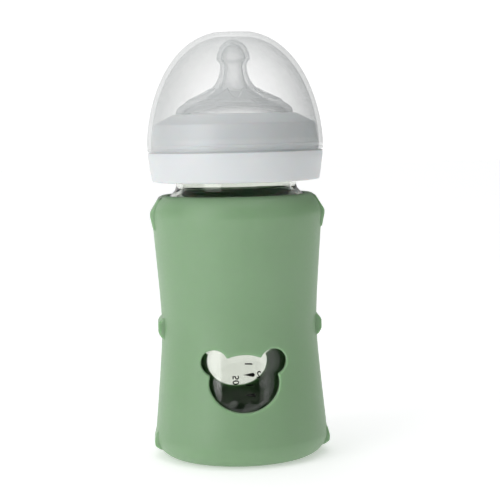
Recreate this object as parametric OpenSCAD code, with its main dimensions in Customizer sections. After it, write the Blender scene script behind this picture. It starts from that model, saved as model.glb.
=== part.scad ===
// Wide-neck glass baby bottle: glass in a silicone grip sleeve, silicone teat, screw ring and dome cap.
// Millimetres, +Z up, origin at the centre of the underside, front towards -Y.

/* [Silicone sleeve] */
// Outer radius just above the rounded base
base_radius = 35.1; // [34.4:0.1:35.6]
// Height of the rounded base corner
base_round = 8.7; // [7:0.1:10]
// Outer radius at the waist
waist_radius = 31.5; // [31:0.1:32.5]
// Height of the waist
waist_height = 53.3; // [50:0.1:56]
// Outer radius where the shoulder starts
shoulder_radius = 34.4; // [34:0.1:35]
// Height where the shoulder starts
shoulder_height = 97.7; // [96:0.1:98]
// Radius of the shoulder curve
shoulder_round = 11; // [10.5:0.1:11.5]
// Wall of the sleeve
sleeve_wall = 2.4; // [2.2:0.1:2.5]

/* [Windows in the sleeve] */
// Height of the centre of the window's head
window_height = 33.5; // [32:0.1:36]
// Half width of the window's head
window_half_width = 13.7; // [11:0.1:14.5]
// Half height of the window's head
window_half_height = 11.3; // [9:0.1:12]
// Radius of each round ear
ear_radius = 5.15; // [4:0.05:5.5]

/* [Glass bottle] */
// Wall of the body
glass_wall = 2.8; // [2.4:0.1:2.9]
// Thickness of the glass base
glass_base = 5.2; // [4:0.1:6]
// Outer radius of the neck
neck_radius = 24.4; // [24:0.1:24.6]
// Wall of the neck
neck_wall = 2.4; // [2:0.1:2.6]
// Height of the rim
rim_height = 133.8; // [133:0.1:134]

/* [Screw ring] */
// Height of the ring's lower edge
ring_bottom = 111.6; // [111:0.1:112]
// Outer radius at the lower edge
ring_bottom_radius = 33.8; // [33.5:0.1:34.5]
// Outer radius at the seam with the cap
ring_radius = 35.3; // [35:0.1:35.5]
// Height of the seam with the cap
seam_height = 123.4; // [122.8:0.1:123.6]
// Radius of the land that the cap slides on
land_radius = 33.5; // [33.3:0.05:33.5]
// Radius of the ring's top edge, where its conical top starts
top_edge_radius = 32.4; // [32:0.1:32.6]
// Rise of the screw thread per turn
thread_pitch = 5; // [4.8:0.1:5.2]
// Turns of thread on the neck and in the ring
thread_turns = 1.5; // [1:0.25:1.5]

/* [Dome cap] */
// Outer radius of the cap
cap_radius = 35.5; // [35.4:0.1:36]
// Height of the flat top
cap_top = 170.8; // [170.5:0.1:171]
// Wall of the cap
cap_wall = 1.6; // [1.4:0.1:1.6]

/* [Teat] */
// Height of the teat's tip
teat_tip = 168.0; // [167:0.1:168.2]
// Outer radius of the bulb
bulb_radius = 6.7; // [6:0.1:7]
// Wall of the teat
teat_wall = 1.7; // [1.4:0.1:1.9]

/* [Hidden] */
$fn = 72;
EPS = 0.01;

// Waist curve: both tapers run into each other over this height
waist_blend = 9.7;
// Gap that keeps the printed scale off the sleeve
sleeve_gap = 0.3;
// The sleeve's lip on the glass shoulder
lip_height = shoulder_height + 8.4;
underside_hole_radius = 15;

function waist_reach(z) = sqrt(pow(z - waist_height, 2) + pow(waist_blend, 2)) - waist_blend;
function taper(z, radius, height) = (radius - waist_radius) * waist_reach(z) / waist_reach(height);
function body_radius(z) = waist_radius
    + (z < waist_height ? taper(z, base_radius, base_round) : taper(z, shoulder_radius, shoulder_height));
function arc(centre, radius, from, to, steps) =
    [for (i = [0:steps]) let (a = from + (to - from) * i / steps) centre + radius * [cos(a), sin(a)]];

// Outline of the body between the base corner and the end of the shoulder, moved inwards by inset
side_steps = 14;
base_centre = [base_radius - base_round, base_round];
shoulder_centre = [shoulder_radius - shoulder_round, shoulder_height];
function side_height(i) = base_round + (shoulder_height - base_round) * i / side_steps;
function body_side(inset, from, to) =
    [for (i = [from:sign(to - from):to]) [body_radius(side_height(i)) - inset, side_height(i)]];
function body_outline(inset, shoulder_end) = concat(
    arc(base_centre, base_round - inset, -90, 0, 6),
    body_side(inset, 1, side_steps - 1),
    arc(shoulder_centre, shoulder_round - inset, 0, shoulder_end, 5));

// ---- glass ----
glass_inset = sleeve_wall + sleeve_gap;
inner_inset = glass_inset + glass_wall;
glass_floor = glass_inset + glass_base;
glass_corner = 6;
bore_radius = neck_radius - neck_wall;
// Height where a 45 degree cone off the shoulder curve reaches a radius
function cone_height(inset, radius) =
    let (r = shoulder_round - inset)
    shoulder_centre[1] + r * sin(45) + shoulder_centre[0] + r * cos(45) - radius;
neck_start = cone_height(glass_inset, neck_radius);
bore_start = cone_height(inner_inset, bore_radius);
inner_base_radius = body_radius(glass_floor + glass_corner) - inner_inset;
punt_radius = 20;
punt_height = 0.9;

// ---- thread: one trapezoid swept along a helix, sinking into the wall at both ends ----
thread_root = 2.2;
thread_crest = 1.1;
thread_depth = 1.5;
thread_overlap = 0.3;
thread_steps = round(30 * thread_turns);
thread_start = 121.2;
// The ring's thread bears on the underside of the neck's thread
thread_drop = 2.15;
ring_bore = neck_radius + thread_depth + 0.5;

function thread_section(i, start, wall, out) =
    let (a = 360 * thread_turns * i / thread_steps)
    let (z = start + thread_pitch * a / 360)
    let (grow = min(1, i / 4, (thread_steps - i) / 4))
    let (root = wall - out * thread_overlap)
    let (crest = wall + out * ((thread_depth + thread_overlap / 2) * grow - thread_overlap / 2))
    let (half_root = thread_root / 2, half_crest = thread_crest / 2)
    [for (p = [[root, -half_root], [crest, -half_crest], [crest, half_crest], [root, half_root]])
        [p[0] * cos(a), p[0] * sin(a), z + p[1]]];

module thread(start, wall, out) {
    points = [for (i = [0:thread_steps]) each thread_section(i, start, wall, out)];
    sides = [for (i = [0:thread_steps - 1], k = [0:3])
        let (a = 4 * i + k, b = 4 * i + (k + 1) % 4, c = b + 4, d = a + 4)
        each (out > 0 ? [[a, b, c], [a, c, d]] : [[c, b, a], [d, c, a]])];
    last = 4 * thread_steps;
    ends = out > 0
        ? [[3, 2, 1], [3, 1, 0], [last, last + 1, last + 2], [last, last + 2, last + 3]]
        : [[1, 2, 3], [0, 1, 3], [last + 2, last + 1, last], [last + 3, last + 2, last]];
    polyhedron(points, concat(sides, ends));
}

module glass_bottle() {
    rim_round = neck_wall / 2;
    outline = concat(
        [[0, glass_inset + punt_height], [punt_radius, glass_inset + punt_height]],
        [[punt_radius + 2, glass_inset]],
        body_outline(glass_inset, 45),
        [[neck_radius + 0.4, neck_start - 0.4], [neck_radius, neck_start + 0.8]],
        arc([neck_radius - rim_round, rim_height - rim_round], rim_round, 0, 180, 6),
        [[bore_radius, bore_start]],
        arc(shoulder_centre, shoulder_round - inner_inset, 45, 0, 3),
        body_side(inner_inset, side_steps - 1, 2),
        arc([inner_base_radius - glass_corner, glass_floor + glass_corner], glass_corner, 0, -90, 4),
        [[0, glass_floor]]);
    color("lightcyan", 0.4) union() {
        rotate_extrude() polygon(outline);
        thread(thread_start, neck_radius, 1);
    }
}

// ---- sleeve ----
pad_half_width = 8.25;
// Each grip pad: inner edge in the wall, then its face, as [height, distance out] pairs
upper_pad = [
    [92.8, 32.8], [92.8, 34.0], [97.9, 35.1], [99.4, 35.1],
    [105.6, 31.3], [105.6, 29.8], [103.9, 31.0], [98.0, 33.0]];
middle_pad = [[48.6, 30.2], [48.6, 31.5], [51.2, 33.1], [55.1, 33.1], [57.0, 31.5], [57.0, 30.2]];
base_pad = [[3.6, 32.4], [3.6, 33.6], [4.9, 35.5], [7.0, 35.7], [10.6, 34.8], [10.6, 33.4], [6.5, 33.3]];

module grip_pad(side) {
    rotate([90, 0, 0]) linear_extrude(height = 2 * pad_half_width, center = true)
        polygon([for (p = side) [p[1], p[0]]]);
}

// Plain rounded head with two round ears
module window_outline() {
    head = [for (a = [0:10:350]) [window_half_width * cos(a), window_half_height * sin(a)]];
    polygon(head);
    for (side = [-1, 1]) translate([side * window_half_width * 0.84, window_half_height * 0.71])
        circle(r = ear_radius, $fn = 32);
}

module silicone_sleeve() {
    lip_inner = cone_height(sleeve_wall, 0) - lip_height;
    outline = concat(
        [[underside_hole_radius, 0]],
        body_outline(0, 47),
        [[shoulder_centre[0] + shoulder_round * cos(47) - 0.7, lip_height], [lip_inner + 0.5, lip_height]],
        arc(shoulder_centre, shoulder_round - sleeve_wall, 45, 0, 5),
        body_side(sleeve_wall, side_steps - 1, 1),
        arc(base_centre, base_round - sleeve_wall, 0, -90, 6),
        [[underside_hole_radius, sleeve_wall]]);
    color("darkseagreen") difference() {
        union() {
            rotate_extrude() polygon(outline);
            for (turn = [0, 180]) rotate([0, 0, turn]) {
                grip_pad(upper_pad);
                grip_pad(middle_pad);
                grip_pad(base_pad);
            }
        }
        translate([0, 0, window_height]) rotate([90, 0, 0])
            linear_extrude(height = 3 * base_radius, center = true) window_outline();
    }
}

// ---- printed scale on the back: each mark adds the same volume, in cubic millimetres ----
first_mark_height = 17.7;
mark_volume = 11600;
mark_count = 16;
mark_thickness = 0.06;
mark_clearance = 0.12;
// Direction of the scale, from the glass's own seam
scale_angle = 79.8;
dash_width = 3.5;
dash_line = 0.6;
drop_length = 5.4;
drop_radius = 0.9;

function mark_height(steps) = steps == 0
    ? first_mark_height
    : let (below = mark_height(steps - 1))
        below + mark_volume / (PI * pow(body_radius(below) - inner_inset, 2));

// A round end that runs out to a point
module drop_outline() {
    centre = drop_length / 2 - drop_radius;
    touch = acos(drop_radius / (drop_length - drop_radius));
    polygon(concat(
        arc([centre, 0], drop_radius, -180 + touch, 180 - touch, 12),
        [[-drop_length / 2, 0]]));
}

// The skin of the glass around one mark
module mark_skin(z, width, height) {
    radius = body_radius(z) - glass_inset + mark_clearance;
    angle = width / radius * 180 / PI;
    rotate([0, 0, scale_angle - angle / 2]) rotate_extrude(angle = angle)
        translate([radius, z - height / 2]) square([mark_thickness, height]);
}

module drop_mark(z) {
    intersection() {
        mark_skin(z, drop_length + 1, 2 * drop_radius + 0.4);
        rotate([0, 0, scale_angle - 90]) translate([0, base_radius, z]) rotate([90, 0, 0])
            linear_extrude(height = base_radius) drop_outline();
    }
}

module measuring_scale() {
    color("black") for (step = [0:mark_count - 1]) {
        if (step % 2 == 0) drop_mark(mark_height(step));
        else mark_skin(mark_height(step), dash_width, dash_line);
    }
}

// ---- teat ----
hole_radius = 24.1;
plate_underside = 135.8;
plate_top = 138.7;
flange_radius = neck_radius + 1.4;
flange_bottom = rim_height + EPS;
flange_top = plate_underside - 0.3;
flow_hole = 0.5;

// Outer side from the flange up to the bulb: distance out and height
skirt = [
    [hole_radius - 0.5, flange_top], [hole_radius - 0.5, 139.4], [22.6, 141.0], [19.2, 143.3], [14.6, 145.5],
    [10.8, 147.4], [8.2, 149.6], [6.5, 152.1], [5.6, 154.8], [5.3, 157.2], [5.6, 158.6]];
skirt_inside = [
    [5.6 - teat_wall, 158.6], [5.3 - teat_wall, 157.2], [5.6 - teat_wall, 154.8], [4.6, 151.4], [6.4, 148.6],
    [9.4, 146.1], [13.6, 143.8], [18.3, 141.5], [21.0, 139.6], [21.8, 138.0]];
bulb_middle = teat_tip - bulb_radius - 1.2;

module teat() {
    tip = [for (i = [0:6]) let (a = 90 * i / 6)
        [max(flow_hole, bulb_radius * cos(a)), bulb_middle + (teat_tip - bulb_middle) * sin(a)]];
    tip_inside = [for (i = [6:-1:0]) let (a = 90 * i / 6)
        [max(flow_hole, (bulb_radius - teat_wall) * cos(a)),
            bulb_middle + (teat_tip - teat_wall - bulb_middle) * sin(a)]];
    outline = concat(
        [[bore_radius - 0.3, flange_bottom], [flange_radius, flange_bottom], [flange_radius, flange_top]],
        skirt,
        tip,
        tip_inside,
        skirt_inside);
    color("whitesmoke", 0.6) rotate_extrude() polygon(outline);
}

// ---- screw ring ----
ledge = seam_height;
collar_wall = 1.5;
ring_skirt_inner = 31.2;
rib_count = 12;
rib_width = 1.2;
rib_inner = ring_bore + collar_wall / 2;
rib_outer = ring_skirt_inner + 0.7;
cone_start = hole_radius + 0.6;
top_edge_drop = 4.4;
cone_slope = top_edge_drop / (top_edge_radius - cone_start);
function cone_top(r) = plate_top - (r - cone_start) * cone_slope;

// one rib between the threaded collar and the skirt, up into the conical top
module rib() {
    outline = [
        [rib_inner, ring_bottom + 3],
        [rib_outer, ring_bottom + 3],
        [rib_outer, cone_top(rib_outer) - 1],
        [rib_inner, cone_top(rib_inner) - 1]];
    rotate([90, 0, 0]) linear_extrude(rib_width, center = true) polygon(outline);
}

module screw_ring() {
    edge_round = 0.8;
    outline = concat(
        [[hole_radius, plate_underside], [hole_radius, plate_top - 0.3], [hole_radius + 0.4, plate_top]],
        [[top_edge_radius - 0.6, cone_top(top_edge_radius - 0.6)]],
        [[top_edge_radius, cone_top(top_edge_radius) - 0.4], [land_radius, ledge + 5]],
        [[land_radius, ledge + 3.4], [land_radius + 0.15, ledge + 2.8], [land_radius, ledge + 2.2]],
        [[land_radius, ledge], [ring_radius - 0.5, ledge], [ring_radius, ledge - 0.5]],
        [[ring_radius - 0.1, ledge - 2.5], [ring_radius - 0.5, ledge - 5.5]],
        arc([ring_bottom_radius - edge_round, ring_bottom + edge_round], edge_round, 0, -90, 3),
        [[ring_skirt_inner, ring_bottom], [ring_skirt_inner, cone_top(ring_skirt_inner) - 2]],
        [[ring_bore + collar_wall, cone_top(ring_bore + collar_wall) - 2.2]],
        [[ring_bore + collar_wall, ring_bottom + 0.6], [ring_bore, ring_bottom + 0.6]],
        [[ring_bore, plate_underside]]);
    color("white") union() {
        rotate_extrude() polygon(outline);
        thread(thread_start - thread_drop, ring_bore, -1);
        for (i = [0:rib_count - 1]) rotate([0, 0, 360 * i / rib_count]) rib();
    }
}

// ---- cap: a superellipse dome that runs from an upright side to a flat top ----
dome_start = 125.5;
dome_end = 80;
dome_steps = 12;
round_power = 2.41;
rise_power = 1.83;
cap_bottom = seam_height + 0.3;
cap_ceiling = 2;

function dome(radius, top) =
    let (rise = (top - dome_start) / pow(sin(dome_end), 2 / rise_power))
    [for (i = [0:dome_steps]) let (a = dome_end * i / dome_steps)
        [radius * pow(cos(a), 2 / round_power), dome_start + rise * pow(sin(a), 2 / rise_power)]];

module dome_cap() {
    inner = dome(cap_radius - cap_wall, cap_top - cap_ceiling);
    outline = concat(
        [[cap_radius - 0.2, cap_bottom]],
        dome(cap_radius, cap_top),
        [[0, cap_top], [0, cap_top - cap_ceiling]],
        [for (i = [dome_steps:-1:0]) inner[i]],
        [[cap_radius - cap_wall, cap_bottom]]);
    color("lightgray", 0.5) rotate_extrude() polygon(outline);
}

glass_bottle();
silicone_sleeve();
measuring_scale();
teat();
screw_ring();
dome_cap();
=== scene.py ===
"""Glass baby bottle in a silicone sleeve, with a teat, a screw ring and a dome cap.

Every size is in millimetres until a mesh is made, and Z runs up the bottle's axis.
"""

import math

import bmesh
import bpy
import numpy as np
from mathutils import Matrix, Vector
from mathutils.geometry import delaunay_2d_cdt


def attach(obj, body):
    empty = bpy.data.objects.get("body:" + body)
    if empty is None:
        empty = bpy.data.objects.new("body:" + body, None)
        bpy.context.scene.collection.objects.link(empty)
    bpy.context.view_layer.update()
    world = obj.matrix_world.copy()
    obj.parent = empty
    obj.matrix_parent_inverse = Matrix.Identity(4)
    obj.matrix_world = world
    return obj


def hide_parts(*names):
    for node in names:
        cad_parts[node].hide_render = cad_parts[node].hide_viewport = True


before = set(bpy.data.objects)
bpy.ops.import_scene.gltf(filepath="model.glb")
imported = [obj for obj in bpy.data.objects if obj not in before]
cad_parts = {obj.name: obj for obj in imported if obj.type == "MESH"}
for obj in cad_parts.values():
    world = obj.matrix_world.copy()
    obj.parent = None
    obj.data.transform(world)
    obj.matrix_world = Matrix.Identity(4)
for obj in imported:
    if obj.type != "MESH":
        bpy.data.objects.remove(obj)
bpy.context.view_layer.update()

MM = 0.001

# ---- sizes shared with the CAD model ----
BASE_RADIUS, BASE_ROUND = 35.1, 8.7
WAIST_RADIUS, WAIST_HEIGHT, WAIST_BLEND = 31.5, 53.3, 9.7
SHOULDER_RADIUS, SHOULDER_HEIGHT, SHOULDER_ROUND = 34.4, 97.7, 11.0
SLEEVE_WALL, SLEEVE_GAP = 2.4, 0.3
GLASS_WALL, GLASS_BASE, GLASS_CORNER = 2.8, 5.2, 6.0
NECK_RADIUS, NECK_WALL, RIM_HEIGHT = 24.4, 2.4, 133.8
GLASS_INSET = SLEEVE_WALL + SLEEVE_GAP
INNER_INSET = GLASS_INSET + GLASS_WALL
PUNT_RADIUS, PUNT_EDGE_RADIUS, PUNT_HEIGHT = 20, 22, 0.9
LIP_HEIGHT = SHOULDER_HEIGHT + 8.4
UNDERSIDE_HOLE = 15.0
WINDOW_HEIGHT, WINDOW_A, WINDOW_B, EAR_RADIUS = 33.5, 13.7, 11.3, 5.15
EAR_X, EAR_Z = 0.84 * WINDOW_A, 0.71 * WINDOW_B
THREAD_PITCH, THREAD_TURNS, THREAD_START, THREAD_DROP = 5.0, 1.5, 121.2, 2.15
THREAD_ROOT, THREAD_CREST, THREAD_DEPTH = 2.2, 1.1, 1.5
RING_BORE = NECK_RADIUS + THREAD_DEPTH + 0.5
RING_BOTTOM, RING_BOTTOM_RADIUS, RING_RADIUS, SEAM = 111.6, 33.8, 35.3, 123.4
LAND_RADIUS, TOP_EDGE_RADIUS, TOP_EDGE_DROP = 33.5, 32.4, 4.4
HOLE_RADIUS, PLATE_UNDER, PLATE_TOP = 24.1, 135.8, 138.7
RING_SKIRT_INNER, COLLAR_WALL = 31.2, 1.5
CAP_RADIUS, CAP_TOP, CAP_WALL, CAP_CEILING, DOME_START = 35.5, 170.8, 1.6, 2.0, 125.5
CAP_BOTTOM = SEAM + 0.3
TEAT_TIP, BULB_RADIUS, TEAT_WALL, FLOW_HOLE = 168.0, 6.7, 1.7, 0.5
MARK_FIRST, MARK_COUNT, MARK_VOLUME, SCALE_ANGLE = 17.7, 16, 11600, 79.8
PAD_HALF_WIDTH = 8.25

BASE_CENTRE = (BASE_RADIUS - BASE_ROUND, BASE_ROUND)
SHOULDER_CENTRE = (SHOULDER_RADIUS - SHOULDER_ROUND, SHOULDER_HEIGHT)


def waist_reach(z):
    """How far both tapers have run from the waist at a height."""
    return np.sqrt((z - WAIST_HEIGHT) ** 2 + WAIST_BLEND ** 2) - WAIST_BLEND


def body_radius(z):
    """Outer radius of the sleeve's side at a height."""
    z = np.asarray(z, float)
    low = (BASE_RADIUS - WAIST_RADIUS) * waist_reach(z) / waist_reach(BASE_ROUND)
    high = (SHOULDER_RADIUS - WAIST_RADIUS) * waist_reach(z) / waist_reach(SHOULDER_HEIGHT)
    return WAIST_RADIUS + np.where(z < WAIST_HEIGHT, low, high)


def cone_height(inset, radius):
    """Height where the 45 degree cone off the shoulder reaches a radius."""
    reach = (SHOULDER_ROUND - inset) * math.sin(math.radians(45))
    return SHOULDER_CENTRE[1] + SHOULDER_CENTRE[0] + 2 * reach - radius


# ---- outlines: lists of (distance from the axis, height) ----
def arc(centre, radius, start, end, step=6.0):
    """Part of a circle, between two angles in degrees."""
    angles = np.radians(np.linspace(start, end, max(2, math.ceil(abs(end - start) / step)) + 1))
    return [(centre[0] + radius * math.cos(a), centre[1] + radius * math.sin(a)) for a in angles]


def side(inset, start, end, step=0.8):
    """The waisted side between two heights, moved inwards."""
    heights = np.linspace(start, end, math.ceil(abs(end - start) / step) + 1)
    return [(float(body_radius(z)) - inset, float(z)) for z in heights]


def spaced(points, step):
    """The same outline with points added, so that no stretch is longer than step."""
    out = [points[0]]
    for a, b in zip(points, points[1:]):
        count = max(1, math.ceil(math.dist(a, b) / step - 1e-6))
        out += [tuple(np.add(a, np.subtract(b, a) * k / count)) for k in range(1, count + 1)]
    return out


MOST_OF_SIDE = 0.49


def rounded(corners, step=2.0, arc_step=18.0):
    """An outline through corners (r, z, rounding), with each corner rounded by its own radius.

    A rounding takes no more than MOST_OF_SIDE of the stretch on either side of its corner.
    """
    points = [corners[0][:2]]
    for before, here, after in zip(corners, corners[1:], corners[2:]):
        if here[2] == 0:
            points.append(here[:2])
            continue
        centre = Vector(here[:2])
        back, ahead = Vector(before[:2]) - centre, Vector(after[:2]) - centre
        half = back.angle(ahead) / 2
        room = MOST_OF_SIDE * min(back.length, ahead.length)
        reach = min(here[2] / math.tan(half), room)
        radius = reach * math.tan(half)
        inwards = (back.normalized() + ahead.normalized()).normalized()
        middle = centre + inwards * radius / math.sin(half)
        first = centre + back.normalized() * reach - middle
        last = centre + ahead.normalized() * reach - middle
        count = max(2, math.ceil(math.degrees(math.pi - 2 * half) / arc_step))
        points += [tuple(middle + first.slerp(last, k / count) * radius) for k in range(count + 1)]
    points.append(corners[-1][:2])
    return spaced(points, step)


# ---- meshes ----
MERGE_DISTANCE = 1e-7


def new_piece(name, points, faces, body, material, replaced, crease=40):
    """A smooth-shaded mesh that rides on a body and stands for the CAD nodes named in replaced.

    Points are in millimetres, and crease is in degrees.
    """
    mesh = bpy.data.meshes.new(name)
    corners = (np.asarray(points, float) * MM).tolist()
    mesh.from_pydata(corners, [], [list(map(int, f)) for f in faces])
    mesh.update()
    shell = bmesh.new()
    shell.from_mesh(mesh)
    bmesh.ops.remove_doubles(shell, verts=shell.verts, dist=MERGE_DISTANCE)
    bmesh.ops.recalc_face_normals(shell, faces=shell.faces)
    shell.to_mesh(mesh)
    shell.free()
    mesh.polygons.foreach_set("use_smooth", [True] * len(mesh.polygons))
    mesh.set_sharp_from_angle(angle=math.radians(crease))
    mesh.materials.append(material)
    piece = bpy.data.objects.new(name, mesh)
    bpy.context.scene.collection.objects.link(piece)
    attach(piece, body)
    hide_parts(*replaced)


def turned(profile, angles, shape=None):
    """Points and faces of a closed outline turned about Z. shape(r, z, a) may move the points."""
    profile = np.asarray(profile, float)
    rows, cols = len(profile), len(angles)
    r = np.repeat(profile[:, :1], cols, axis=1)
    z = np.repeat(profile[:, 1:], cols, axis=1)
    a = np.repeat(np.radians(np.asarray(angles, float))[None, :], rows, axis=0)
    if shape is not None:
        r, z = shape(r, z, a)
    points = np.stack([r * np.cos(a), r * np.sin(a), z], axis=2).reshape(-1, 3)
    i, j = np.meshgrid(np.arange(rows), np.arange(cols), indexing="ij")
    up, on = (i + 1) % rows, (j + 1) % cols
    faces = np.stack([i * cols + j, i * cols + on, up * cols + on, up * cols + j], axis=2)
    return points, faces.reshape(-1, 4)


def turned_solid(profile, angles, shape=None):
    """As turned, for an outline whose first and last points lie on the axis."""
    points, faces = turned(profile[1:-1], angles, shape)
    cols = len(angles)
    faces = [tuple(f) for f in faces[:(len(profile) - 3) * cols]]
    points = np.vstack([points, [[0, 0, profile[0][1]], [0, 0, profile[-1][1]]]])
    first, last, top = len(points) - 2, len(points) - 1, (len(profile) - 3) * cols
    for j in range(cols):
        on = (j + 1) % cols
        faces += [(first, on, j), (last, top + j, top + on)]
    return points, faces


def even_angles(step):
    """A full turn in degrees, at an even step."""
    return np.arange(0, 360 - step / 2, step)


def smooth_step(x):
    """Eases from 0 to 1."""
    x = np.clip(x, 0, 1)
    return x * x * (3 - 2 * x)


THREAD_ENDS_PER_TURN = 12


def thread_height(z, a, start):
    """How far a screw thread stands off its wall. Its ends fade out over a twelfth of a turn."""
    height = np.zeros_like(z)
    for lap in range(2):
        along = (a / (2 * math.pi)) % 1.0 + lap
        centre = start + THREAD_PITCH * along
        flank = (THREAD_ROOT - THREAD_CREST) / 2
        rise = smooth_step((THREAD_ROOT / 2 - np.abs(z - centre)) / flank)
        ends = smooth_step(np.minimum(along, THREAD_TURNS - along) * THREAD_ENDS_PER_TURN)
        ridge = np.where(along < THREAD_TURNS, rise * ends * THREAD_DEPTH, 0)
        height = np.maximum(height, ridge)
    return height


# ---- silicone sleeve ----
# Face of each grip pad as (height, distance out)
UPPER_PAD = [(92.8, 34.0), (97.9, 35.1), (99.4, 35.1), (105.6, 31.3)]
MIDDLE_PAD = [(48.6, 31.5), (51.2, 33.1), (55.1, 33.1), (57.0, 31.5)]
BASE_PAD = [(3.6, 33.6), (4.9, 35.5), (7.0, 35.7), (10.6, 34.8)]
PAD_EDGE = 1.0
SHOULDER_END = 47


def pad_shape(r, z, a):
    """Raises the grip pads on the two sides of the sleeve."""
    x, y = r * np.cos(a), r * np.sin(a)
    spread = smooth_step((PAD_HALF_WIDTH - np.abs(y)) / PAD_EDGE)
    for pad in (UPPER_PAD, MIDDLE_PAD, BASE_PAD):
        heights, reaches = np.array(pad).T
        face = np.interp(z, heights, reaches, left=0, right=0)
        lift = np.clip(face - np.abs(x), 0, None) * spread
        x = x + np.sign(x) * lift
    return np.hypot(x, y), z


def sleeve_outside():
    """From the hole in the underside, up the outside and over the lip."""
    corner = arc(BASE_CENTRE, BASE_ROUND, -90, 0, 4)
    shoulder = arc(SHOULDER_CENTRE, SHOULDER_ROUND, 0, SHOULDER_END, 4)
    lip_outer = shoulder[-1][0] - 0.7
    lip_inner = cone_height(SLEEVE_WALL, 0) - LIP_HEIGHT + 0.5
    lip = rounded([shoulder[-1] + (0,), (lip_outer, LIP_HEIGHT, 0.5),
                   (lip_inner, LIP_HEIGHT, 0.3), (lip_inner + 0.6, LIP_HEIGHT - 1.1, 0)], 0.5)
    start = rounded([(UNDERSIDE_HOLE, SLEEVE_WALL / 2, 0), (UNDERSIDE_HOLE, 0, 0.6),
                     BASE_CENTRE[:1] + (0, 0)], 2)
    waist = side(0, BASE_ROUND, SHOULDER_HEIGHT)[1:-1]
    return start[:-1] + corner + waist + shoulder[:-1] + lip


def sleeve_inside():
    """From the lip, down the inside and back to the hole."""
    shoulder = arc(SHOULDER_CENTRE, SHOULDER_ROUND - SLEEVE_WALL, 45, 0, 6)
    corner = arc(BASE_CENTRE, BASE_ROUND - SLEEVE_WALL, 0, -90, 6)
    waist = side(SLEEVE_WALL, SHOULDER_HEIGHT, BASE_ROUND, 1.6)[1:-1]
    return shoulder + waist + corner + spaced([corner[-1], (UNDERSIDE_HOLE, SLEEVE_WALL)], 3)[1:]


WINDOW_STEP = 0.35
WINDOW_SMOOTHING = 3
RIM_ROUND = 0.9
INNER_ROUND = 0.25
# Loops of points round the window's edge, as shares of the rounding
ROUNDING_SHARES = (0, 0.12, 0.35, 0.65, 1)
PATCH_HALF_ANGLE = 39.0
PATCH_MARGIN = 2.5
WINDOW_FACINGS = (270.0, 90.0)


def window_outline():
    """The window's edge as evenly spaced (across, height) points: an oval with two round ears."""
    turn = np.arange(0, 360, 0.25)
    circle = np.stack([np.cos(np.radians(turn)), np.sin(np.radians(turn))], axis=1)
    head = circle * (WINDOW_A, WINDOW_B)
    ear = circle * EAR_RADIUS + (EAR_X, EAR_Z)
    in_ear = turn[np.hypot(*(head - (EAR_X, EAR_Z)).T) < EAR_RADIUS]
    clear = np.hypot(*(ear / (WINDOW_A, WINDOW_B)).T) > 1
    right = np.roll(ear, -int(np.argmax(clear & ~np.roll(clear, 1))), axis=0)[:clear.sum()]
    left = right[::-1] * (-1, 1)
    top = head[(turn > in_ear.max()) & (turn < 180 - in_ear.max())]
    under = np.roll(head, -(len(head) // 4), axis=0)
    low = np.roll((turn > 180 - in_ear.min()) | (turn < in_ear.min()), -(len(head) // 4))
    loop = np.vstack([right, top, left, under[low], right[:1]])
    length = np.r_[0, np.cumsum(np.linalg.norm(np.diff(loop, axis=0), axis=1))]
    at = np.linspace(0, length[-1], int(length[-1] / WINDOW_STEP), endpoint=False)
    even = np.stack([np.interp(at, length, loop[:, k]) for k in (0, 1)], axis=1)
    for _ in range(WINDOW_SMOOTHING):
        even = 0.5 * even + 0.25 * (np.roll(even, 1, axis=0) + np.roll(even, -1, axis=0))
    return even


def offset_loop(loop, distance):
    """A closed anticlockwise loop moved outwards."""
    along = np.roll(loop, -1, axis=0) - np.roll(loop, 1, axis=0)
    along /= np.linalg.norm(along, axis=1)[:, None]
    return loop + distance * np.stack([along[:, 1], -along[:, 0]], axis=1)


def inside_loop(points, loop):
    """Which points lie inside a closed loop."""
    x, y = points[:, 0, None], points[:, 1, None]
    ax, ay = loop[:, 0], loop[:, 1]
    bx, by = np.roll(ax, -1), np.roll(ay, -1)
    crosses = (ay > y) != (by > y)
    span = np.where(by == ay, 1, by - ay)
    return (crosses & (x < (bx - ax) * (y - ay) / span + ax)).sum(axis=1) % 2 == 1


def rim_inset(distance, rounding):
    """How far an edge rounding lies below the face, at a distance from the edge."""
    d = np.clip(rounding - distance, 0, rounding)
    return rounding - np.sqrt(rounding ** 2 - d ** 2)


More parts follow.
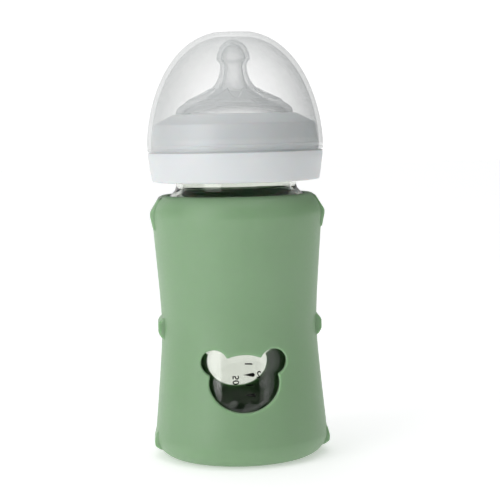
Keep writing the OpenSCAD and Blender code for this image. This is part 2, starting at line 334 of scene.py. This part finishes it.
def window_patch(angles, heights, facing, inset, rounding, outwards):
    """The sleeve's skin around one window, between the grid's own rows and columns.

    angles and heights are the grid lines that bound and fill the patch. The result is its points
    and triangles, with the count of points that lie on the window's edge, which come first.
    """
    radius = float(body_radius(WINDOW_HEIGHT)) - inset
    edge = window_outline()
    loops = [offset_loop(edge, share * rounding) for share in ROUNDING_SHARES]
    loops.append(offset_loop(edge, rounding + 0.5))
    flat, constraints = [], []

    def add_loop(points):
        first = len(flat)
        flat.extend(Vector(p) for p in points)
        count = len(points)
        constraints.extend((first + k, first + (k + 1) % count) for k in range(count))

    def unrolled(across, up):
        skin = body_radius(up + WINDOW_HEIGHT) - inset
        return np.stack([np.arcsin(across / skin) * radius, up], axis=1)

    for loop in loops:
        add_loop(unrolled(loop[:, 0], loop[:, 1]))
    u = np.radians(np.asarray(angles)) * radius
    v = np.asarray(heights) - WINDOW_HEIGHT
    frame_points = ([(x, v[0]) for x in u] + [(u[-1], y) for y in v[1:]]
                    + [(x, v[-1]) for x in u[-2::-1]] + [(u[0], y) for y in v[-2:0:-1]])
    add_loop(frame_points)
    inner_u, inner_v = np.meshgrid(u[1:-1], v[1:-1])
    fill = np.stack([inner_u.ravel(), inner_v.ravel()], axis=1)
    guard = offset_loop(edge, rounding + 1.0)
    fill = fill[~inside_loop(fill, unrolled(guard[:, 0], guard[:, 1]))]
    flat.extend(Vector(p) for p in fill)
    result = delaunay_2d_cdt(flat, constraints, [], 0, 1e-5, False)
    points2 = np.array([tuple(p) for p in result[0]])
    triangles = np.array(result[2])
    middle = points2[triangles].mean(axis=1)
    hole = unrolled(edge[:, 0], edge[:, 1])
    triangles = triangles[~inside_loop(middle, hole)]
    gap = np.linalg.norm(points2[:, None, :] - hole[None, :, :], axis=2).min(axis=1)
    ease = rim_inset(gap, rounding)
    flat_skin = body_radius(points2[:, 1] + WINDOW_HEIGHT) - inset
    skin = flat_skin + (-ease if outwards else ease)
    a = np.arcsin(np.sin(points2[:, 0] / radius) * flat_skin / skin) + math.radians(facing)
    points = np.stack([skin * np.cos(a), skin * np.sin(a), points2[:, 1] + WINDOW_HEIGHT], axis=1)
    return points, triangles, len(edge)


def silicone_sleeve(material):
    """One closed skin: a turned grid with two patches that hold the windows."""
    outside, inside = sleeve_outside(), sleeve_inside()
    profile = outside + inside
    coarse = np.arange(0, 360, 1.5)
    fine = np.arange(-18, 18.1, 0.5)
    angles = sorted({round(float(a) % 360, 3) for a in [*coarse, *fine, *(fine + 180)]})

    def with_pads(r, z, a):
        raised = pad_shape(r, z, a)[0]
        r[:len(outside)] = raised[:len(outside)]
        return r, z

    points, faces = turned(profile, angles, with_pads)
    cols = len(angles)
    heights = np.array([p[1] for p in profile])
    top = WINDOW_HEIGHT + EAR_Z + EAR_RADIUS + PATCH_MARGIN
    low = max(BASE_ROUND, WINDOW_HEIGHT - WINDOW_B - PATCH_MARGIN)
    vertices, polygons = [points], []
    beside = [i for i in range(len(profile)) if low < heights[i] < top]
    rows_out = [i for i in beside if i < len(outside)]
    rows_in = [i for i in beside if i >= len(outside)]
    angle_array = np.array(angles)
    removed = set()
    offset = len(points)
    for facing in WINDOW_FACINGS:
        columns = [j for j in range(cols) if abs(angle_array[j] - facing) <= PATCH_HALF_ANGLE]
        edges = []
        for rows, inset, rounding, outwards in (
                (rows_out, 0.0, RIM_ROUND, True), (rows_in, SLEEVE_WALL, INNER_ROUND, False)):
            removed |= {(i, j) for i in range(min(rows), max(rows)) for j in columns[:-1]}
            patch_heights = sorted(heights[i] for i in rows)
            patch, triangles, count = window_patch(
                angle_array[columns] - facing, patch_heights, facing, inset, rounding, outwards)
            vertices.append(patch)
            polygons += [tuple(t + offset) for t in triangles]
            edges.append(offset)
            offset += len(patch)
        for k in range(count):
            on = (k + 1) % count
            polygons.append((edges[0] + k, edges[0] + on, edges[1] + on, edges[1] + k))
    faces = faces.reshape(len(profile), cols, 4)
    keep = [tuple(faces[i, j]) for i in range(len(profile)) for j in range(cols)
            if (i, j) not in removed]
    new_piece("grip_sleeve", np.vstack(vertices), keep + polygons, "bottle", material,
              ["silicone_sleeve"], crease=50)


# ---- glass ----
NECK_FILLET, BORE_FILLET = 3.0, 5.6


def glass_bottle(material):
    """One closed skin with the thread raised on its neck."""
    floor = GLASS_INSET + GLASS_BASE
    bore = NECK_RADIUS - NECK_WALL
    rim = NECK_WALL / 2
    inner_base = float(body_radius(floor + GLASS_CORNER)) - INNER_INSET
    shoulder_out = arc(SHOULDER_CENTRE, SHOULDER_ROUND - GLASS_INSET, 0, 45, 3)
    shoulder_in = arc(SHOULDER_CENTRE, SHOULDER_ROUND - INNER_INSET, 45, 0, 5)
    neck_start, bore_start = cone_height(GLASS_INSET, NECK_RADIUS), cone_height(INNER_INSET, bore)
    rim_start = RIM_HEIGHT - rim
    punt = rounded([(0, GLASS_INSET + PUNT_HEIGHT, 0), (PUNT_RADIUS, GLASS_INSET + PUNT_HEIGHT, 1.2),
                    (PUNT_EDGE_RADIUS, GLASS_INSET, 0.8), (BASE_CENTRE[0], GLASS_INSET, 0)], 1.5)
    neck = rounded([shoulder_out[-1] + (0,), (NECK_RADIUS, neck_start, NECK_FILLET),
                    (NECK_RADIUS, rim_start, 0)], 0.35)
    bore_line = rounded([(bore, rim_start, 0), (bore, bore_start, BORE_FILLET),
                         shoulder_in[0] + (0,)], 1.0)
    profile = (punt[:-1] + arc(BASE_CENTRE, BASE_ROUND - GLASS_INSET, -90, 0, 6)
               + side(GLASS_INSET, BASE_ROUND, SHOULDER_HEIGHT, 1.0)[1:-1] + shoulder_out[:-1] + neck[:-1]
               + arc((NECK_RADIUS - rim, rim_start), rim, 0, 180, 15)
               + bore_line[1:-1] + shoulder_in
               + side(INNER_INSET, SHOULDER_HEIGHT, floor + GLASS_CORNER, 1.0)[1:-1]
               + arc((inner_base - GLASS_CORNER, floor + GLASS_CORNER), GLASS_CORNER, 0, -90, 6)
               + spaced([(inner_base - GLASS_CORNER, floor), (0, floor)], 2)[1:])

    def with_thread(r, z, a):
        on_neck = (np.abs(r - NECK_RADIUS) < 0.01) & (z > neck_start)
        return r + np.where(on_neck, thread_height(z, a, THREAD_START), 0), z

    points, faces = turned_solid(profile, even_angles(2), with_thread)
    new_piece("glass_body", points, faces, "bottle", material, ["glass_bottle"])


# ---- printed scale ----
DASH_WIDTH, DASH_LINE, DROP_LENGTH, DROP_RADIUS = 3.5, 0.6, 5.4, 0.9
PRINT_GAP, PRINT_THICKNESS = 0.12, 0.06
NUMERAL_SIZE, NUMERAL_WEIGHT = 4.3, 0.07
# What the first mark and each step are numbered as, in millilitres
FIRST_READING, READING_STEP = 40, 10
# A turned number every 50 ml, and an upright one every second 30 ml ounce on the other side
TURNED_EVERY, TURNED_ACROSS, TURNED_RAISE = 50, 6.0, 2.3
OUNCE, UPRIGHT_EVERY, UPRIGHT_ACROSS = 30, 60, -4.7


def mark_heights():
    """Heights that step by equal volumes of the bore."""
    heights = [MARK_FIRST]
    while len(heights) < MARK_COUNT:
        bore = float(body_radius(heights[-1])) - INNER_INSET
        heights.append(heights[-1] + MARK_VOLUME / (math.pi * bore ** 2))
    return heights


def on_glass(points):
    """Wraps flat print points (across, height, thickness) round the back of the glass."""
    points = np.asarray(points, float)
    radius = body_radius(points[:, 1]) - GLASS_INSET + PRINT_GAP + points[:, 2]
    a = math.radians(SCALE_ANGLE) + points[:, 0] / (radius - points[:, 2])
    return np.stack([radius * np.cos(a), radius * np.sin(a), points[:, 1]], axis=1)


def printed(outline, at):
    """A closed sliver of enamel from a flat outline."""
    count = len(outline)
    flat = [(x + at[0], z + at[1]) for x, z in outline]
    points = [(x, z, 0) for x, z in flat] + [(x, z, PRINT_THICKNESS) for x, z in flat]
    faces = [tuple(range(count))[::-1], tuple(range(count, 2 * count))]
    faces += [(k, (k + 1) % count, count + (k + 1) % count, count + k) for k in range(count)]
    return points, faces


def dash_outline():
    """A short level line."""
    w, h = DASH_WIDTH / 2, DASH_LINE / 2
    return [(x, -h) for x in np.linspace(-w, w, 5)] + [(x, h) for x in np.linspace(w, -w, 5)]


def drop_outline():
    """A round end that runs out to a point."""
    centre = DROP_LENGTH / 2 - DROP_RADIUS
    touch = math.degrees(math.acos(DROP_RADIUS / (DROP_LENGTH - DROP_RADIUS)))
    return arc((-centre, 0), DROP_RADIUS, touch, 360 - touch, 15) + [(DROP_LENGTH / 2, 0)]


def numeral(text, turned_by, at):
    """A number as flat print points and faces. turned_by is in degrees."""
    curve = bpy.data.curves.new("numeral", "FONT")
    curve.body = text
    curve.size = NUMERAL_SIZE
    curve.offset = NUMERAL_WEIGHT
    curve.align_x, curve.align_y = "CENTER", "CENTER"
    curve.extrude = PRINT_THICKNESS / 2
    curve.resolution_u = 3
    holder = bpy.data.objects.new("numeral", curve)
    bpy.context.scene.collection.objects.link(holder)
    bpy.context.view_layer.update()
    graph = bpy.context.evaluated_depsgraph_get()
    mesh = bpy.data.meshes.new_from_object(holder.evaluated_get(graph))
    turn = Matrix.Rotation(math.radians(turned_by), 3, "Z")
    points = [turn @ v.co for v in mesh.vertices]
    points = [(p.x + at[0], p.y + at[1], p.z + PRINT_THICKNESS / 2) for p in points]
    faces = [tuple(f.vertices) for f in mesh.polygons]
    bpy.data.objects.remove(holder)
    bpy.data.curves.remove(curve)
    bpy.data.meshes.remove(mesh)
    return points, faces


def measuring_scale(material):
    """Drops and dashes in turn up the back of the glass, with their numbers."""
    points, faces = [], []

    def add(part):
        first = len(points)
        points.extend(part[0])
        faces.extend(tuple(k + first for k in f) for f in part[1])

    for step, height in enumerate(mark_heights()):
        add(printed(drop_outline() if step % 2 == 0 else dash_outline(), (0, height)))
        reading = FIRST_READING + READING_STEP * step
        if reading % TURNED_EVERY == 0:
            add(numeral(str(reading), -90, (TURNED_ACROSS, height + TURNED_RAISE)))
        if reading % UPRIGHT_EVERY == 0:
            add(numeral(str(reading // OUNCE), 0, (UPRIGHT_ACROSS, height)))
    new_piece("printed_scale", on_glass(points), faces, "bottle", material,
              ["measuring_scale"], crease=20)


# ---- screw ring ----
CONE_START = HOLE_RADIUS + 0.6
CONE_SLOPE = TOP_EDGE_DROP / (TOP_EDGE_RADIUS - CONE_START)
SNAP_BEAD = 0.15


def cone_top(r):
    """Height of the ring's conical top at a distance from the axis."""
    return PLATE_TOP - (r - CONE_START) * CONE_SLOPE


def screw_ring(material):
    """One closed skin: the outside down to the lower edge, then up between the two walls."""
    collar = RING_BORE + COLLAR_WALL
    corners = [
        (HOLE_RADIUS, PLATE_UNDER + 1, 0),
        (HOLE_RADIUS, PLATE_TOP, 0.5),
        (TOP_EDGE_RADIUS, cone_top(TOP_EDGE_RADIUS) + 0.2, 0.7),
        (LAND_RADIUS, SEAM + 5, 3),
        (LAND_RADIUS, SEAM + 3.3, 0.4),
        (LAND_RADIUS + SNAP_BEAD, SEAM + 2.8, 0.4),
        (LAND_RADIUS, SEAM + 2.3, 0.4),
        (LAND_RADIUS, SEAM, 0.15),
        (RING_RADIUS, SEAM, 0.45),
        (RING_RADIUS - 0.1, SEAM - 2.5, 6),
        (RING_RADIUS - 0.5, SEAM - 5.5, 6),
        (RING_BOTTOM_RADIUS, RING_BOTTOM, 0.8),
        (RING_SKIRT_INNER, RING_BOTTOM, 0.5),
        (RING_SKIRT_INNER, cone_top(RING_SKIRT_INNER) - 2, 0.8),
        (collar, cone_top(collar) - 2.2, 0.8),
        (collar, RING_BOTTOM + 0.6, 0.3),
        (RING_BORE, RING_BOTTOM + 0.6, 0.3),
        (RING_BORE, PLATE_UNDER, 0.4),
        (HOLE_RADIUS, PLATE_UNDER, 0.3),
        (HOLE_RADIUS, PLATE_UNDER + 1, 0)]
    profile = rounded(corners, 0.5)[:-1]

    def with_thread(r, z, a):
        on_bore = (np.abs(r - RING_BORE) < 0.01) & (z > RING_BOTTOM + 1)
        return r - np.where(on_bore, thread_height(z, a, THREAD_START - THREAD_DROP), 0), z

    points, faces = turned(profile, even_angles(1.5), with_thread)
    new_piece("collar_ring", points, faces, "ring", material, ["screw_ring"],
              crease=55)


# ---- dome cap ----
ROUND_POWER, RISE_POWER, DOME_END = 2.41, 1.83, 80.0
GROOVE, GROOVE_DEPTH, GROOVE_HALF, GROOVE_FLOOR_HALF = 125.1, 0.22, 0.35, 0.12


def dome(radius, top, step=1.6):
    """A superellipse that runs from an upright side towards the flat top."""
    rise = (top - DOME_START) / math.sin(math.radians(DOME_END)) ** (2 / RISE_POWER)
    angles = np.radians(np.linspace(0, DOME_END, int(DOME_END / step) + 1))
    return [(radius * math.cos(a) ** (2 / ROUND_POWER),
             DOME_START + rise * math.sin(a) ** (2 / RISE_POWER)) for a in angles]


def dome_cap(material):
    """A shell with a shallow groove round the outside, just above its rim."""
    mouth, ceiling = CAP_RADIUS - CAP_WALL, CAP_TOP - CAP_CEILING
    outer, inner = dome(CAP_RADIUS, CAP_TOP), dome(mouth, ceiling)[::-1]
    groove_floor = CAP_RADIUS - GROOVE_DEPTH
    rim = rounded([(mouth, CAP_BOTTOM + 1, 0), (mouth, CAP_BOTTOM, 0.3),
                   (CAP_RADIUS - 0.05, CAP_BOTTOM, 0.4), (CAP_RADIUS, GROOVE - GROOVE_HALF, 0.05),
                   (groove_floor, GROOVE - GROOVE_FLOOR_HALF, 0.05),
                   (groove_floor, GROOVE + GROOVE_FLOOR_HALF, 0.05), outer[0] + (0,)], 0.6)
    profile = (spaced([(0, ceiling), inner[0]], 1.5)[:-1] + inner + rim[:-1] + outer
               + spaced([outer[-1], (0, CAP_TOP)], 1.5)[1:])
    points, faces = turned_solid(profile, even_angles(2))
    new_piece("travel_cap", points, faces, "cap", material, ["dome_cap"],
              crease=50)


# ---- teat ----
# Both sides of the skirt as (distance out, height)
SKIRT = [(23.6, 139.2), (22.7, 141.0), (19.2, 143.3), (14.6, 145.5), (10.8, 147.4), (8.2, 149.6),
         (6.5, 152.1), (5.6, 154.8), (5.3, 157.2), (5.6, 158.6)]
SKIRT_INSIDE = [(3.9, 158.6), (3.6, 157.2), (3.9, 154.8), (4.6, 151.4), (6.4, 148.6), (9.4, 146.1),
                (13.6, 143.8), (18.3, 141.5), (21.0, 139.6), (21.8, 138.0)]


def smooth_line(points, step=0.5):
    """A Catmull-Rom curve through points."""
    p = np.array([points[0]] + list(points) + [points[-1]], float)
    out = []
    for i in range(1, len(p) - 2):
        count = max(2, math.ceil(np.linalg.norm(p[i + 1] - p[i]) / step))
        for t in np.arange(count) / count:
            out.append(tuple(0.5 * (2 * p[i] + (p[i + 1] - p[i - 1]) * t
                                    + (2 * p[i - 1] - 5 * p[i] + 4 * p[i + 1] - p[i + 2]) * t ** 2
                                    + (3 * p[i] - p[i - 1] - 3 * p[i + 1] + p[i + 2]) * t ** 3)))
    return out + [tuple(p[-1])]


PETALS, PETAL_LOW, PETAL_HIGH, PETAL_RELIEF = 10, 144.0, 148.6, 0.55
VENT_REACH, VENT_HALF_WIDTH, VENT_HALF_DEPTH, VENT_RELIEF = 19.8, 8.0, 2.6, 0.6
# Heights where the relief may lie, and how its lift splits between outwards and upwards
SKIRT_TOP = 152
LIFT_OUT, LIFT_UP = 0.5, 0.85


def teat_relief(r, z, a):
    """Raises a ring of pointed petals and one oval vent panel on the outside of the teat's skirt."""
    outer = np.interp(z, [p[1] for p in SKIRT], [p[0] for p in SKIRT])
    outside = (r > outer - TEAT_WALL / 2) & (z > SKIRT[0][1]) & (z < SKIRT_TOP)
    zigzag = 2 * np.abs((a * PETALS / (2 * math.pi)) % 1 - 0.5)
    edge = PETAL_LOW + (PETAL_HIGH - PETAL_LOW) * zigzag
    petals = smooth_step((edge - z) / 0.5) * smooth_step((z - PETAL_LOW + 1) / 0.6)
    x, y = r * np.cos(a), r * np.sin(a)
    oval = 1 - np.hypot(x / VENT_HALF_WIDTH, (y + VENT_REACH) / VENT_HALF_DEPTH)
    vent = smooth_step(oval / 0.15)
    lift = np.where(outside, np.maximum(petals * PETAL_RELIEF, vent * VENT_RELIEF), 0)
    return r + LIFT_OUT * lift, z + LIFT_UP * lift


def bulb_line(thinner):
    """The bulb's outline from its side to the flow hole, moved inwards."""
    middle = TEAT_TIP - BULB_RADIUS - 1.2
    radius, rise = BULB_RADIUS - thinner, TEAT_TIP - thinner - middle
    turn = np.radians(np.linspace(0, 90, 19))
    return [(max(FLOW_HOLE, radius * math.cos(a)), middle + rise * math.sin(a)) for a in turn]


def teat(material):
    """One closed skin from the flange over the bulb and back down the inside."""
    flange_low, flange_top = RIM_HEIGHT + 0.05, PLATE_UNDER - 0.3
    flange_radius = NECK_RADIUS + 1.4
    bulb, bulb_inside = bulb_line(0), bulb_line(TEAT_WALL)[::-1]
    flange = rounded([(NECK_RADIUS - NECK_WALL - 0.3, flange_low, 0), (flange_radius, flange_low, 0.4),
                      (flange_radius, flange_top, 0.4), (HOLE_RADIUS - 0.5, flange_top, 0.2),
                      (HOLE_RADIUS - 0.5, SKIRT[0][1], 0)], 0.8)
    outer = smooth_line(SKIRT + bulb[:1])
    inner = smooth_line(bulb_inside[-1:] + SKIRT_INSIDE)
    profile = flange[:-1] + outer + bulb[1:] + bulb_inside[:-1] + inner
    points, faces = turned(profile, even_angles(1), teat_relief)
    new_piece("soft_teat", points, faces, "teat", material, ["teat"], crease=50)


# ---- materials ----
SILICONE_IOR, PLASTIC_IOR, GLASS_IOR = 1.41, 1.49, 1.474
EDGE_BLEND = 0.35
# Most of a noise pattern lies between these values
NOISE_LOW, NOISE_HIGH = 0.3, 0.7


def new_material(name, colour, roughness, **values):
    """A node material whose named Principled sockets are set directly."""
    material = bpy.data.materials.new(name)
    material.use_nodes = True
    shader = material.node_tree.nodes["Principled BSDF"]
    shader.inputs["Base Color"].default_value = (*colour, 1)
    shader.inputs["Roughness"].default_value = roughness
    for socket, value in values.items():
        shader.inputs[socket.replace("_", " ")].default_value = value
    return material, material.node_tree, shader


def noise(tree, scale, detail=3.0):
    """A noise pattern fixed to the object. Scale is in patterns per metre."""
    place = tree.nodes.new("ShaderNodeTexCoord")
    pattern = tree.nodes.new("ShaderNodeTexNoise")
    pattern.inputs["Scale"].default_value = scale
    pattern.inputs["Detail"].default_value = detail
    tree.links.new(place.outputs["Object"], pattern.inputs["Vector"])
    return pattern.outputs["Fac"]


def stretched(tree, value, start, end, low, high, easing="LINEAR"):
    """Maps the range from start to end onto low to high."""
    stretch = tree.nodes.new("ShaderNodeMapRange")
    stretch.interpolation_type = easing
    limits = {"From Min": start, "From Max": end, "To Min": low, "To Max": high}
    for name, limit in limits.items():
        stretch.inputs[name].default_value = limit
    tree.links.new(value, stretch.inputs["Value"])
    return stretch.outputs["Result"]


def spread(tree, pattern, low, high):
    """Stretches a noise pattern between two values."""
    return stretched(tree, pattern, NOISE_LOW, NOISE_HIGH, low, high)


def blend_colours(tree, value, first, second):
    """A colour between two, by a 0 to 1 value."""
    mix = tree.nodes.new("ShaderNodeMix")
    mix.data_type = "RGBA"
    mix.inputs["A"].default_value = (*first, 1)
    mix.inputs["B"].default_value = (*second, 1)
    tree.links.new(value, mix.inputs["Factor"])
    return mix.outputs["Result"]


def bump(tree, shader, value, depth, strength=1.0):
    """Fine relief. Depth is in metres."""
    relief = tree.nodes.new("ShaderNodeBump")
    relief.inputs["Distance"].default_value = depth
    relief.inputs["Strength"].default_value = strength
    tree.links.new(value, relief.inputs["Height"])
    tree.links.new(relief.outputs["Normal"], shader.inputs["Normal"])


def mottle(tree, shader, pattern, first, second):
    """A faint drift of the base colour between two colours."""
    tone = spread(tree, pattern, 0, 1)
    tree.links.new(blend_colours(tree, tone, first, second), shader.inputs["Base Color"])


def vary_roughness(tree, shader, scale, low, high):
    """Roughness that differs a little from place to place."""
    tree.links.new(spread(tree, noise(tree, scale), low, high), shader.inputs["Roughness"])


def edge_opacity(tree, shader, facing, edge):
    """A clear moulding: nearly see-through face on, and cloudier where its wall is seen edge on."""
    slant = tree.nodes.new("ShaderNodeLayerWeight")
    slant.inputs["Blend"].default_value = EDGE_BLEND
    opacity = stretched(tree, slant.outputs["Facing"], 0.0, 1.0, facing, edge)
    tree.links.new(opacity, shader.inputs["Alpha"])


def sleeve_silicone():
    """Matte sage silicone with a fine moulded grain."""
    material, tree, shader = new_material(
        "sage_silicone", (0.235, 0.385, 0.215), 0.5, IOR=SILICONE_IOR, Specular_IOR_Level=0.9,
        Sheen_Weight=0.03, Sheen_Roughness=0.5, Subsurface_Weight=0.8,
        Subsurface_Radius=(0.75, 1.0, 0.7), Subsurface_Scale=0.004)
    mottle(tree, shader, noise(tree, 45, 4), (0.228, 0.378, 0.208), (0.242, 0.392, 0.222))
    vary_roughness(tree, shader, 900, 0.4, 0.5)
    bump(tree, shader, noise(tree, 5200, 4), 0.00003, 0.35)
    return material


def clear_glass():
    """Bottle glass with a faint blown waviness."""
    material, tree, shader = new_material(
        "borosilicate", (0.82, 0.84, 0.79), 0.0, IOR=GLASS_IOR, Transmission_Weight=1.0)
    vary_roughness(tree, shader, 300, 0.0, 0.01)
    bump(tree, shader, noise(tree, 130, 1), 0.0001, 0.3)
    return material


def white_plastic():
    """Satin white plastic, a little cool, with a fine moulded grain."""
    material, tree, shader = new_material(
        "satin_polypropylene", (0.7, 0.72, 0.73), 0.32, IOR=PLASTIC_IOR, Subsurface_Weight=0.2,
        Subsurface_Scale=0.002)
    mottle(tree, shader, noise(tree, 80), (0.69, 0.715, 0.73), (0.71, 0.73, 0.74))
    vary_roughness(tree, shader, 1500, 0.28, 0.38)
    bump(tree, shader, noise(tree, 3000), 0.00002, 0.25)
    return material


def frosted_plastic():
    """Clear plastic that is cloudy only edge on."""
    material, tree, shader = new_material(
        "translucent_polypropylene", (0.58, 0.6, 0.595), 0.1, IOR=PLASTIC_IOR)
    edge_opacity(tree, shader, 0.02, 0.55)
    vary_roughness(tree, shader, 1200, 0.06, 0.12)
    mottle(tree, shader, noise(tree, 60), (0.57, 0.595, 0.595), (0.59, 0.605, 0.595))
    bump(tree, shader, noise(tree, 2500), 0.00002, 0.25)
    return material


def teat_silicone():
    """Clear silicone, cloudier than the cap."""
    material, tree, shader = new_material(
        "soft_silicone", (0.68, 0.71, 0.71), 0.3, IOR=SILICONE_IOR)
    edge_opacity(tree, shader, 0.1, 0.75)
    vary_roughness(tree, shader, 900, 0.16, 0.26)
    mottle(tree, shader, noise(tree, 90), (0.66, 0.69, 0.7), (0.7, 0.725, 0.72))
    bump(tree, shader, noise(tree, 2000), 0.00003, 0.3)
    return material


def black_enamel():
    """Fired print with an uneven gloss."""
    material, tree, shader = new_material("black_enamel", (0.01, 0.012, 0.012), 0.35)
    mottle(tree, shader, noise(tree, 2500), (0.008, 0.01, 0.01), (0.02, 0.022, 0.022))
    vary_roughness(tree, shader, 3500, 0.3, 0.45)
    return material


def floor_material():
    """Pale paper that glows a little, so that its far part is as white as the backdrop."""
    material, tree, shader = new_material(
        "studio_floor", (0.8, 0.8, 0.8), 0.7, Specular_IOR_Level=0.2,
        Emission_Color=(1, 1, 1, 1), Emission_Strength=0.385)
    mottle(tree, shader, noise(tree, 6), (0.8, 0.8, 0.8), (0.81, 0.81, 0.81))
    return material


# ---- studio: metres, degrees and watts ----
FLOOR_REACH = 4
# Each fall of the sky's light: where it starts and ends along the axis, and its strength there
SKY_LEFT = (-1.0, 1.0, 1.15, 0.05)
SKY_BACK = (0.45, 0.8, 0.1, 1.0)
SKY_TOP = (0.45, 1.0, 0.0, 1.4)
BACKDROP_STRENGTH = 1.1
BOTTLE_MIDDLE = (0, 0, 0.1)
CAMERA_LENS, CAMERA_SENSOR, CAMERA_NEAR, CAMERA_FAR = 106.6, 36.0, 0.01, 50
CAMERA_DISTANCE, CAMERA_HEIGHT = 0.6, 0.1352
CAMERA_AROUND, CAMERA_PITCH, CAMERA_ROLL, CAMERA_PAN = 2.9, 4.97, 1.29, 0.484


def studio_floor():
    """A wide level sheet under the bottle."""
    reach = FLOOR_REACH
    corners = [(-reach, -reach, 0), (reach, -reach, 0), (reach, reach, 0), (-reach, reach, 0)]
    mesh = bpy.data.meshes.new("studio_floor")
    mesh.from_pydata(corners, [], [(0, 1, 2, 3)])
    mesh.materials.append(floor_material())
    floor = bpy.data.objects.new("studio_floor", mesh)
    bpy.context.scene.collection.objects.link(floor)


def sky():
    """A white backdrop to look at, and a tent of light that falls off to the right and the front."""
    world = bpy.data.worlds.new("studio")
    world.use_nodes = True
    tree = world.node_tree
    tree.nodes.clear()
    place = tree.nodes.new("ShaderNodeTexCoord")
    split = tree.nodes.new("ShaderNodeSeparateXYZ")
    tree.links.new(place.outputs["Generated"], split.inputs["Vector"])

    def fall(axis, limits):
        return stretched(tree, split.outputs[axis], *limits, easing="SMOOTHSTEP")

    def combine(operation, a, b):
        node = tree.nodes.new("ShaderNodeMath")
        node.operation = operation
        tree.links.new(a, node.inputs[0])
        tree.links.new(b, node.inputs[1])
        return node.outputs[0]

    sideways = combine("MULTIPLY", fall("X", SKY_LEFT), fall("Y", SKY_BACK))
    glow = combine("ADD", sideways, fall("Z", SKY_TOP))
    tent = tree.nodes.new("ShaderNodeBackground")
    tent.inputs["Color"].default_value = (0.99, 1.0, 1.0, 1)
    tree.links.new(glow, tent.inputs["Strength"])
    backdrop = tree.nodes.new("ShaderNodeBackground")
    backdrop.inputs["Color"].default_value = (1, 1, 1, 1)
    backdrop.inputs["Strength"].default_value = BACKDROP_STRENGTH
    seen = tree.nodes.new("ShaderNodeLightPath")
    choose = tree.nodes.new("ShaderNodeMixShader")
    out = tree.nodes.new("ShaderNodeOutputWorld")
    tree.links.new(seen.outputs["Is Camera Ray"], choose.inputs["Fac"])
    tree.links.new(tent.outputs["Background"], choose.inputs[1])
    tree.links.new(backdrop.outputs["Background"], choose.inputs[2])
    tree.links.new(choose.outputs["Shader"], out.inputs["Surface"])
    bpy.context.scene.world = world


def softbox(name, place, size, power):
    """A soft white lamp that faces the bottle."""
    light = bpy.data.lights.new(name, "AREA")
    light.shape = "RECTANGLE"
    light.size, light.size_y = size
    light.energy = power
    lamp = bpy.data.objects.new(name, light)
    lamp.location = place
    aim = Vector(BOTTLE_MIDDLE) - Vector(place)
    lamp.rotation_euler = aim.to_track_quat("-Z", "Y").to_euler()
    lamp.visible_camera = False
    bpy.context.scene.collection.objects.link(lamp)


def studio_light():
    """The sky, a large key lamp on the left and a weak fill on the right."""
    sky()
    softbox("key", (-0.69, -0.58, 0.35), (0.6, 0.9), 4.0)
    softbox("fill", (0.49, -0.75, 0.35), (0.22, 0.9), 0.3)


def photo_camera():
    """Looks slightly down from the front, a little to the left of the bottle's own front."""
    lens = bpy.data.cameras.new("photo_camera")
    lens.lens, lens.sensor_width = CAMERA_LENS, CAMERA_SENSOR
    lens.clip_start, lens.clip_end = CAMERA_NEAR, CAMERA_FAR
    camera = bpy.data.objects.new("photo_camera", lens)
    around, pitch, roll, pan = (
        math.radians(v) for v in (CAMERA_AROUND, CAMERA_PITCH, CAMERA_ROLL, CAMERA_PAN))
    heading = around + pan
    level = math.cos(pitch)
    ahead = Vector((math.sin(heading) * level, math.cos(heading) * level, -math.sin(pitch)))
    right = ahead.cross(Vector((0, 0, 1))).normalized()
    up = right.cross(ahead)
    across = right * math.cos(roll) - up * math.sin(roll)
    upward = right * math.sin(roll) + up * math.cos(roll)
    turn = Matrix((across, upward, -ahead)).transposed()
    place = (-CAMERA_DISTANCE * math.sin(around), -CAMERA_DISTANCE * math.cos(around), CAMERA_HEIGHT)
    camera.matrix_world = Matrix.Translation(place) @ turn.to_4x4()
    bpy.context.scene.collection.objects.link(camera)
    bpy.context.scene.camera = camera


photo_camera()
studio_floor()
studio_light()
silicone_sleeve(sleeve_silicone())
glass_bottle(clear_glass())
measuring_scale(black_enamel())
teat(teat_silicone())
screw_ring(white_plastic())
dome_cap(frosted_plastic())
bpy.context.scene.view_settings.view_transform = "Standard"
